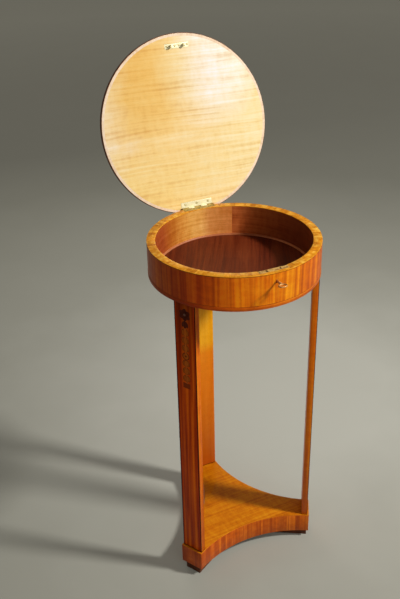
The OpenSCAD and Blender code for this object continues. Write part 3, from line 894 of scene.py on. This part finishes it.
# Woods of the lid
lid_satin = wood("satinwood_lid_top", GOLDEN, along_x, lid=True, figure=0.4, seed=7.1)
lid_crossband = wood(
    "satinwood_lid_crossband", RED, radial(CROSSBAND_ROUND), lid=True, strip=0.03, seed=7.9
)
round_lid = {"lay": running_round(LID_R), "lid": True, "seed": 8.3}
lid_edge = wood("satinwood_lid_edge", LID_EDGE, **round_lid)
lid_edge_worn = wood("satinwood_lid_edge_worn", lighter(LID_EDGE, 1.25), **round_lid)
lid_pale = wood(
    "satinwood_lid_underside",
    PALE,
    along_x,
    lid=True,
    fibre=0.2,
    streak=0.55,
    figure=0.2,
    pores=0.15,
    gloss=0.5,
    polish=0.5,
    shading=faded_lid_with_highlights,
    seed=9.2,
)
lid_border = wood(
    "border_lid_underside",
    BORDER,
    radial(BORDER_ROUND),
    lid=True,
    figure=0.15,
    pores=0.1,
    roughness=0.4,
    seed=9.9,
)
dark_round_lid = wood("dark_stringing_lid", DARK, running_round(DRUM_R), lid=True, figure=0.1, seed=15.8)

# Brasses, each with its rubbed and its tarnished tone
hinge_brass = brass(
    "brass_hinge_lid", tone(252, 243, 196), tone(236, 220, 160), rubbed=0.56, metal=0.15, lid=True
)
# The darker brass of the hinge leaf's and link plate's rounded edges is painted shade, the dark outline of
# the gap round them
hinge_edge_shade_brass = brass(
    "brass_hinge_lid_edge", tone(150, 138, 84), tone(104, 94, 50), metal=0.3, lid=True
)
hinge_old = brass("brass_hinge_drum", tone(206, 176, 92), tone(132, 100, 30), rubbed=0.47, metal=0.3)
key_brass = brass("brass_key", tone(226, 166, 100), tone(156, 108, 58), roughness=0.4, metal=0.7)
bolt_brass = brass("brass_bolt", tone(206, 176, 100), tone(120, 98, 46))
lock_old = brass("old_brass_lock", tone(240, 192, 112), tone(150, 104, 48), roughness=0.42, metal=0.3)
screw_old = brass(
    "old_brass_screws", tone(186, 160, 90), tone(90, 76, 36), rubbed=0.46, roughness=0.4, metal=0.5
)
screw_lid = brass(
    "old_brass_lid_screws", tone(222, 206, 146), tone(176, 156, 96), roughness=0.42, metal=0.3, lid=True
)

# The CAD nodes that stay as they are take their finishes
for node, finish in {
    "drum_carcass": carcass_wood,
    "drum_veneer": drum_satin,
    "well_lining_left": lining_tan,
    "well_lining_right": lining_dark,
    "well_bead": bead_wood,
    "well_floor": floor_wood,
    "plinth_core": core_wood,
    "hinge_lower_leaf": hinge_old,
    "lock_plate": lock_old,
    "lock_case": lock_old,
    "lock_bolt": bolt_brass,
    "lid_core": core_wood,
    "lid_top_veneer": lid_satin,
    "lid_top_crossband": lid_crossband,
    "lid_underside_veneer": lid_pale,
    "lid_underside_border": lid_border,
}.items():
    for holder in nodes[node].material_slots:
        holder.material = finish


# Legs: how far a face lies below its bandings, how wide the dark edge line is, and how round the edges are

FLUSH = 0.00015
EDGE_LINE_W = 0.0018
BOARD_EDGE, STRIP_EDGE = 0.00025, 0.0002

# The dark line round a leg's foot, glue and wax and painted contact shade: how far it stands out, its height,
# and the share of its foot's size that its top has
FOOT_LINE_OUT, FOOT_LINE_H = 0.0002, 0.0014
FOOT_LINE_TAPER = (0.985, 0.99, 1)


def leg_board():
    """A leg standing towards +X: a board with a tenon at each end and a face raised between its bandings."""
    side = LEG_W / 2
    field = side - LEG_BAND_W
    middle = LEG_FACE - LEG_T / 2
    front = LEG_FACE - INLAY_T * 1.5
    piece = block("leg", (LEG_FACE - LEG_T, -side, PLINTH_TOP), (LEG_FACE - INLAY_T, side, DRUM_BASE))
    for end, way in ((DRUM_BASE, 1), (PLINTH_TOP, -1)):
        choose_faces(piece, lambda spot, normal: normal.z * way > SQUARE_ON)
        pull((0, 0, 0))
        swell((TENON_T / (LEG_T - INLAY_T), TENON_W / LEG_W, 1), (middle, 0, end))
        pull((0, 0, way * TENON_L))
    for y in (-field, field):
        cut_across((0, y, 0), (0, 1, 0))
    choose_faces(
        piece, lambda spot, normal: normal.x > SQUARE_ON and abs(spot.y) < field and spot.x > front
    )
    pull((INLAY_T - FLUSH, 0, 0))
    put_back(piece)
    ease_edges(piece, BOARD_EDGE)
    smooth(piece)
    give(piece, leg_satin, leg_worn, leg_face)
    for face in piece.data.polygons:
        if face.normal.x > SQUARE_ON and face.center.x > LEG_FACE - FLUSH * 1.5:
            face.material_index = 2
    return piece


def leg_strip(way, low, high, *finishes):
    """One strip of a leg's banding, between two distances from the leg's middle line."""
    ends = sorted((way * low, way * high))
    piece = block("banding", (LEG_FACE - INLAY_T, ends[0], PLINTH_TOP), (LEG_FACE, ends[1], DRUM_BASE))
    put_back(piece)
    ease_edges(piece, STRIP_EDGE)
    smooth(piece)
    give(piece, *finishes)
    return piece


def glue_and_shade_line():
    """The dark line round a leg's foot: glue and wax, and painted contact shade where the leg meets the
    plinth.
    """
    side = LEG_W / 2 + FOOT_LINE_OUT
    piece = block(
        "joint",
        (LEG_FACE - LEG_T - FOOT_LINE_OUT, -side, PLINTH_TOP),
        (LEG_FACE + FOOT_LINE_OUT, side, PLINTH_TOP + FOOT_LINE_H),
    )
    choose_faces(piece, lambda spot, normal: normal.z > SQUARE_ON)
    swell(FOOT_LINE_TAPER, (LEG_FACE - LEG_T / 2, 0, PLINTH_TOP))
    put_back(piece)
    smooth(piece)
    give(piece, ebony)
    return piece


def legs():
    """The three legs, copied from one set of patterns."""
    edge = LEG_W / 2
    strips = {}
    for side, way in (("left", -1), ("right", 1)):
        strips[f"banding_{side}"] = leg_strip(
            way, edge - LEG_BAND_W, edge - EDGE_LINE_W, banding_wood, banding_worn
        )
        strips[f"edge_line_{side}"] = leg_strip(way, edge - EDGE_LINE_W, edge, ebony, banding_wood)
    board, joint = leg_board(), glue_and_shade_line()
    for leg, angle in LEGS.items():
        turn = Matrix.Rotation(math.radians(angle), 4, "Z")
        this_board = copied(board, leg + "_board", turn)
        if leg == "leg_back":
            this_board.data.materials[0] = leg_gold
        place(this_board, "table", "satinwood", leg)
        place(copied(joint, leg + "_joint", turn), "table", "dark_wood")
        for name, strip in strips.items():
            place(copied(strip, f"{leg}_{name}", turn), "table", "dark_wood", "leg_edge_banding")
    for pattern in [board, joint, *strips.values()]:
        bpy.data.objects.remove(pattern)


legs()


# Marquetry of a leg: the thickness of its pieces, and the small step by which one lies over another

CUT_T = 0.0006
LAYER = 0.00001

# Distances of its parts below the drum, and their sizes
ROSETTE_DROP = 0.024
PETALS, PETAL_OUT, PETAL_W, PETAL_H = 6, 0.0070, 0.0104, 0.0124
EYE_RING_R, EYE_R, EYE_DOT_R = 0.0036, 0.0024, 0.0009
HUSK_STEP = 0.0175
HUSK_DROPS = [0.0458 + i * HUSK_STEP for i in range(4)] + [0.1323 + i * HUSK_STEP for i in range(3)]
FIRST_HUSK_W, FIRST_HUSK_H = 0.0150, 0.0160
HUSK_W, HUSK_H = 0.0205, 0.0164
HUSK_FLARE = math.radians(24)
HUSK_LINE = 0.0014
SIDE_LEAF, MIDDLE_LEAF = (0.42, 0.86), (0.44, 1.0)
BUD_BELOW, BUD_R = 0.0088, 0.0016
PATERA_DROP = 0.1153
PATERA_RING_R, PATERA_R, PATERA_EYE_R = 0.0082, 0.0066, 0.0022
TABLET_DROP, TABLET_W, TABLET_H = 0.1773, 0.017, 0.012


def veneer_disc(name, radius, drop, across=0.0, layer=0, sides=DISC_SIDES):
    """A thin disc of veneer in the leg's face, at its distance below the drum."""
    put_down()
    bpy.ops.mesh.primitive_cylinder_add(
        vertices=sides,
        radius=radius,
        depth=CUT_T,
        location=(LEG_FACE + layer * LAYER - CUT_T / 2, across, DRUM_BASE - drop),
        rotation=(0, math.pi / 2, 0),
    )
    return put_back(start(name))


def leaf(name, width, height, drop, across=0.0, layer=0, lean=0.0):
    """A pointed oval of veneer, cut where two rounds cross, leaning about its upper point."""
    bend = (height * height + width * width) / (4 * width)
    aside = bend - width / 2
    piece = veneer_disc(name, bend, drop, across + aside, layer, LEAF_SIDES)
    other = veneer_disc("template", bend, drop, across - aside, layer, LEAF_SIDES)
    cut_with(piece, other, "INTERSECT")
    tip = Vector((LEG_FACE, across, DRUM_BASE - drop + height / 2))
    piece.data.transform(turned_about(tip, lean))
    return piece


class Inlay:
    """The light and the dark pieces of one leg's marquetry, for the leg that stands towards +X."""

    def __init__(self):
        self.light, self.dark = [], []

    def lay_light(self, piece, finish):
        give(piece, finish)
        self.light.append(piece)

    def lay_dark(self, piece, finish):
        give(piece, finish)
        self.dark.append(piece)

    def rosette(self):
        """Six petals round an eye."""
        for i in range(PETALS):
            turn = math.pi / 2 + i * math.tau / PETALS
            drop = ROSETTE_DROP - PETAL_OUT * math.sin(turn)
            across = PETAL_OUT * math.cos(turn)
            petal = leaf("petal", PETAL_W, PETAL_H, drop, across, -5)
            spot = Vector((LEG_FACE, across, DRUM_BASE - drop))
            petal.data.transform(turned_about(spot, turn - math.pi / 2))
            self.lay_dark(petal, inlay_dark)
        self.lay_dark(veneer_disc("eye_ring", EYE_RING_R, ROSETTE_DROP, layer=-3), inlay_dark)
        self.lay_light(veneer_disc("eye", EYE_R, ROSETTE_DROP), inlay_grey)
        self.lay_dark(veneer_disc("eye_dot", EYE_DOT_R, ROSETTE_DROP, layer=2), inlay_dark)

    def husk(self, drop, width, height, lay_fill, fill, outline):
        """A bell-shaped husk: a long middle leaf between two that flare, over their darker outlines."""
        for lean, (wide, long), layer in (
            (-HUSK_FLARE, SIDE_LEAF, -6),
            (HUSK_FLARE, SIDE_LEAF, -6),
            (0.0, MIDDLE_LEAF, -2),
        ):
            w, h = width * wide, height * long
            base = drop - (height - h) / 2
            lay_fill(leaf("husk", w, h, base, layer=layer, lean=lean), fill)
            wider = leaf("husk_line", w + HUSK_LINE, h + HUSK_LINE, base, layer=layer - 2, lean=lean)
            self.lay_dark(wider, outline)
        self.lay_light(veneer_disc("bud", BUD_R, drop + BUD_BELOW, layer=-1), inlay_shaded)

    def chain(self):
        """A dark husk below the rosette, and lighter ones above and below the patera."""
        first, *others = HUSK_DROPS
        self.husk(first, FIRST_HUSK_W, FIRST_HUSK_H, self.lay_dark, inlay_dark, inlay_dark)
        for drop in others:
            self.husk(drop, HUSK_W, HUSK_H, self.lay_light, inlay_wood, inlay_line)

    def patera(self):
        """A small disc with a dark ring and eye, in the gap of the chain."""
        self.lay_dark(veneer_disc("patera_ring", PATERA_RING_R, PATERA_DROP, layer=-6), inlay_line)
        self.lay_light(veneer_disc("patera", PATERA_R, PATERA_DROP, layer=-3), inlay_wood)
        self.lay_dark(veneer_disc("patera_eye", PATERA_EYE_R, PATERA_DROP), inlay_line)

    def tablet(self):
        """The plain tablet at the chain's end."""
        top = DRUM_BASE - TABLET_DROP
        low = (LEG_FACE - CUT_T, -TABLET_W / 2, top - TABLET_H)
        high = (LEG_FACE - 5 * LAYER, TABLET_W / 2, top)
        self.lay_dark(put_back(block("tablet", low, high)), tablet_wood)


def marquetry():
    """Each leg's inlay, copied from one."""
    inlay = Inlay()
    inlay.rosette()
    inlay.chain()
    inlay.patera()
    inlay.tablet()
    light, dark = joined("inlay_light", inlay.light), joined("inlay_dark", inlay.dark)
    for leg, angle in LEGS.items():
        turn = Matrix.Rotation(math.radians(angle), 4, "Z")
        place(copied(light, leg + "_inlay_light", turn), "table", "inlay_wood", "leg_inlay_light")
        place(copied(dark, leg + "_inlay_dark", turn), "table", "dark_wood", "leg_inlay_dark")
    bpy.data.objects.remove(light)
    bpy.data.objects.remove(dark)


marquetry()


# Pieces that keep the CAD shape, with eased edges


def eased(node, body, slot, width, finish, edge_finish=None):
    """Stands for a node: its own shape with its edges rounded to a width."""
    piece = from_cad(node, node + "_eased")
    give(piece, finish, edge_finish or finish)
    for face in piece.data.polygons:
        face.material_index = 0
    ease_edges(piece, width)
    smooth(piece)
    place(piece, body, slot, node)


eased("rim_crossband", "table", "satinwood", 0.0003, rim_satin, rim_worn)
eased("drum_base_band", "table", "red_satinwood", 0.0003, band_red, band_worn)
eased("plinth_sole", "table", "dark_wood", 0.0005, sole_wood)
eased("plinth_edge_veneer", "table", "red_satinwood", 0.0002, plinth_red, plinth_worn)
eased("plinth_top_veneer", "table", "satinwood", 0.0004, plinth_satin, plinth_top_worn)
eased("hinge_pin", "table", "old_brass", 0.0003, screw_old)
eased("hinge_lower_screws", "table", "old_brass", 0.0001, screw_old)
eased("lock_screws", "table", "old_brass", 0.0001, screw_old)
eased("lid_edge_band", "lid", "red_satinwood", 0.0003, lid_edge, lid_edge_worn)
eased("hinge_upper_leaf", "lid", "brass", 0.00025, hinge_brass, hinge_edge_shade_brass)
eased("hinge_upper_screws", "lid", "old_brass", 0.0001, screw_lid)
eased("link_plate", "lid", "brass", 0.00015, hinge_brass, hinge_edge_shade_brass)
eased("link_plate_screws", "lid", "old_brass", 0.0001, screw_lid)


# Stringing: thin dark lines in the drum's veneer and round the field of the lid's top


def stringing(name, radius_in, radius_out, low, high, lid=False):
    """A thin ring of dark wood. The lid's is made on the shut lid and opened with it."""
    piece = hoop(name, [(radius_in, low), (radius_out, low), (radius_out, high), (radius_in, high)])
    if lid:
        piece.data.transform(turned_about(HINGE_LINE, -LID_OPEN))
    smooth(piece)
    give(piece, dark_round_lid if lid else dark_round)
    place(piece, "lid" if lid else "table", "dark_wood")


# Where the lines lie
BAND_TOP = DRUM_BASE + BAND_H
WALL_TOP = RIM - VENEER
LID_TOP = LID_Z + LID_T
FIELD_R = LID_R - VENEER - LID_CROSSBAND

# Their widths, how far each stands out of the veneer, and how deep the lid's is
BAND_LINE_W, BAND_LINE_OUT = 0.0007, 0.0001
RIM_LINE_W, RIM_LINE_OUT = 0.0006, 0.00005
LID_LINE_W, LID_LINE_OUT, LID_LINE_DEEP = 0.0012, 0.00003, 0.0004

stringing("drum_line_lower", CARCASS_R, DRUM_R + BAND_LINE_OUT, BAND_TOP, BAND_TOP + BAND_LINE_W)
stringing("drum_line_upper", CARCASS_R, DRUM_R + RIM_LINE_OUT, WALL_TOP - RIM_LINE_W, WALL_TOP)
stringing(
    "lid_top_line",
    FIELD_R - LID_LINE_W / 2,
    FIELD_R + LID_LINE_W / 2,
    LID_TOP - LID_LINE_DEEP,
    LID_TOP + LID_LINE_OUT,
    lid=True,
)


# Key: steps of its turned shank as distances from the table's axis and radii, from the bore's end outwards

KEY_SHANK = [
    (0.1596, 0.0010),
    (0.1536, 0.0010),
    (0.1536, 0.0016),
    (0.1539, 0.0019),
    (0.1780, 0.0019),
    (0.1783, 0.0023),
    (0.1789, 0.0023),
    (0.1792, 0.0018),
    (0.1812, 0.0018),
    (0.1820, 0.0022),
    (0.1824, 0.0029),
    (0.1830, 0.0030),
    (0.1840, 0.0030),
    (0.1846, 0.0027),
    (0.1850, 0.0020),
    (0.1862, 0.0015),
    (0.1872, 0.0012),
]

# The bow is a flattened ring, pulled apart to both sides but for what lies near to its middle
BOW_MIDDLE = (0, -0.1912, KEY_Z)
BOW_R, BOW_WIRE_R = 0.0048, 0.0014
BOW_STRETCH, BOW_NEAR_MIDDLE, BOW_FLATTENED = 0.0028, 0.0002, 0.857

# The bit reaches left, with a slot that lets it pass a ward
BIT_EDGE = 0.00012
BIT_LOW, BIT_HIGH = (-0.0046, -0.1584, KEY_Z - 0.0009), (-0.0010, -0.1550, KEY_Z + 0.0009)
WARD_LOW, WARD_HIGH = (-0.0060, -0.1571, KEY_Z - 0.002), (-0.0034, -0.1563, KEY_Z + 0.002)


def key():
    """A small pipe key: turned shank with two rings, a cut bit, and a rounded oval bow."""
    shank = turned("key_shank", (0, 0, KEY_Z), (0, -1, 0), KEY_SHANK)
    put_down()
    bpy.ops.mesh.primitive_torus_add(
        location=BOW_MIDDLE,
        major_segments=64,
        minor_segments=20,
        major_radius=BOW_R,
        minor_radius=BOW_WIRE_R,
    )
    bow = start("key_bow")
    for side in (-1, 1):
        choose_faces(bow, lambda spot, normal: spot.x * side > BOW_NEAR_MIDDLE)
        bpy.ops.transform.translate(value=(side * BOW_STRETCH, 0, 0))
    bpy.ops.mesh.select_all(action="SELECT")
    swell((1, 1, BOW_FLATTENED), BOW_MIDDLE)
    put_back(bow)
    bit = put_back(block("key_bit", BIT_LOW, BIT_HIGH))
    ward = put_back(block("ward", WARD_LOW, WARD_HIGH))
    cut_with(bit, ward)
    ease_edges(bit, BIT_EDGE)
    whole = joined("key_turned", [shank, bow, bit])
    smooth(whole)
    give(whole, key_brass)
    place(whole, "key", "brass", "key")


key()


# Floor and backdrop

FLOOR_R = 30
# The floor's painted pool of light, its middle and reach, and the strength of its painted glow
PAINTED_LIGHT_AT, PAINTED_LIGHT_REACH = (0.35, 0.45), 6.0
PAINTED_FLOOR_GLOW = 0.11
ROOM_LIGHT, ROOM_STRENGTH = (1.0, 0.985, 0.96), 0.23
BACKDROP = tone(108, 105, 94)


def floor_paint():
    """Grey paper with a painted pool of light round a spot to the right behind the table, darker further out
    and paler again far off. Where it is seen, a painted glow is part of it.
    """
    f = Finish("studio_floor")
    place = f.object_place()
    sway = f.minus(f.noise(place, *FLOOR_CLOUDS), 0.5)
    colour = patch(
        f,
        place,
        PAINTED_LIGHT_AT,
        PAINTED_LIGHT_REACH,
        sway,
        [
            (0.0, tone(181, 179, 166)),
            (0.05, tone(179, 177, 164)),
            (0.10, tone(164, 162, 149)),
            (0.15, tone(150, 148, 135)),
            (0.30, tone(131, 129, 116)),
            (0.60, tone(146, 143, 129)),
            (1.0, tone(168, 165, 149)),
        ],
    )
    # Where the floor is seen, its colour is dimmed and a painted glow added, so the shadows on it look paler
    seen = f.seen()
    f.dress(
        {
            "Base Color": f.tinted(colour, f.blend("MIX", seen, (1, 1, 1), (0.88, 0.88, 0.88))),
            "Emission Color": colour,
            "Emission Strength": f.times(seen, PAINTED_FLOOR_GLOW),
            "Roughness": 0.85,
        }
    )
    return f.material


def floor():
    """A broad round of paper, which is also what is seen behind the table."""
    put_down()
    bpy.ops.mesh.primitive_circle_add(
        vertices=FLOOR_SIDES, radius=FLOOR_R, fill_type="NGON", location=(0, 0, 0)
    )
    paper = put_back(start("floor"))
    give(paper, floor_paint())


def room():
    """An even pale light on the table, before a darker backdrop."""
    world = bpy.data.worlds.new("studio")
    bpy.context.scene.world = world
    world.use_nodes = True
    w = NodeWork(world.node_tree)
    light = w.add("ShaderNodeBackground", {"Color": ROOM_LIGHT, "Strength": ROOM_STRENGTH})
    backdrop = w.add("ShaderNodeBackground", {"Color": BACKDROP, "Strength": 1.0})
    mix = w.add("ShaderNodeMixShader", {0: w.seen(), 1: light.outputs[0], 2: backdrop.outputs[0]})
    w.add("ShaderNodeOutputWorld", {"Surface": mix.outputs[0]})


floor()
room()


# Lamps: a small strong one at the right of the front, and two wide weak ones that gloss doesn't mirror


def lamp(name, spot, aim_height, size, power, mirrored=False):
    """A round lamp at a spot, turned towards a height on the table's axis."""
    put_down()
    bpy.ops.object.light_add(type="AREA", location=spot)
    thing = bpy.context.active_object
    thing.name = name
    thing.data.shape = "DISK"
    thing.data.size = size
    thing.data.energy = power
    aim = Vector((0, 0, aim_height)) - Vector(spot)
    thing.rotation_euler = aim.to_track_quat("-Z", "Y").to_euler()
    thing.visible_glossy = mirrored


lamp("lamp_front_right", (1.90, -1.63, 2.76), aim_height=0.62, size=0.4, power=115, mirrored=True)
lamp("lamp_front", (0.1, -2.4, 1.3), aim_height=0.6, size=1.6, power=6)
lamp("lamp_behind", (0.2, 2.2, 1.5), aim_height=0.6, size=1.4, power=9)


# Camera: its place round the table, its distance, what it looks at, and the lens in pixels of the photo

CAMERA_TURN = math.radians(-23.985)
CAMERA_TILT = math.radians(29.108)
CAMERA_ROLL = math.radians(-1.407)
CAMERA_AWAY = 1.6883
AIM_Z = 0.6136
AIM_LEFT = 0.0690
LENS_PIXELS = 837.4
PHOTO_HEIGHT = 599
SENSOR = 36


def camera():
    lens = bpy.data.cameras.new("camera")
    lens.sensor_width = SENSOR
    lens.lens = LENS_PIXELS / PHOTO_HEIGHT * SENSOR
    lens.clip_start = 0.05
    lens.clip_end = 100
    stand = bpy.data.objects.new("camera", lens)
    bpy.context.scene.collection.objects.link(stand)
    bpy.context.scene.camera = stand
    right = Vector((math.cos(CAMERA_TURN), math.sin(CAMERA_TURN), 0))
    out = Vector((math.sin(CAMERA_TURN), -math.cos(CAMERA_TURN), 0))
    back = out * math.cos(CAMERA_TILT) + Vector((0, 0, math.sin(CAMERA_TILT)))
    up = back.cross(right)
    rolled_right = math.cos(CAMERA_ROLL) * right + math.sin(CAMERA_ROLL) * up
    rolled_up = -math.sin(CAMERA_ROLL) * right + math.cos(CAMERA_ROLL) * up
    aim = Vector((0, 0, AIM_Z)) - AIM_LEFT * right
    facing = Matrix((rolled_right, rolled_up, back)).transposed().to_4x4()
    stand.matrix_world = Matrix.Translation(aim + back * CAMERA_AWAY) @ facing


camera()
bpy.context.scene.view_settings.view_transform = "Standard"
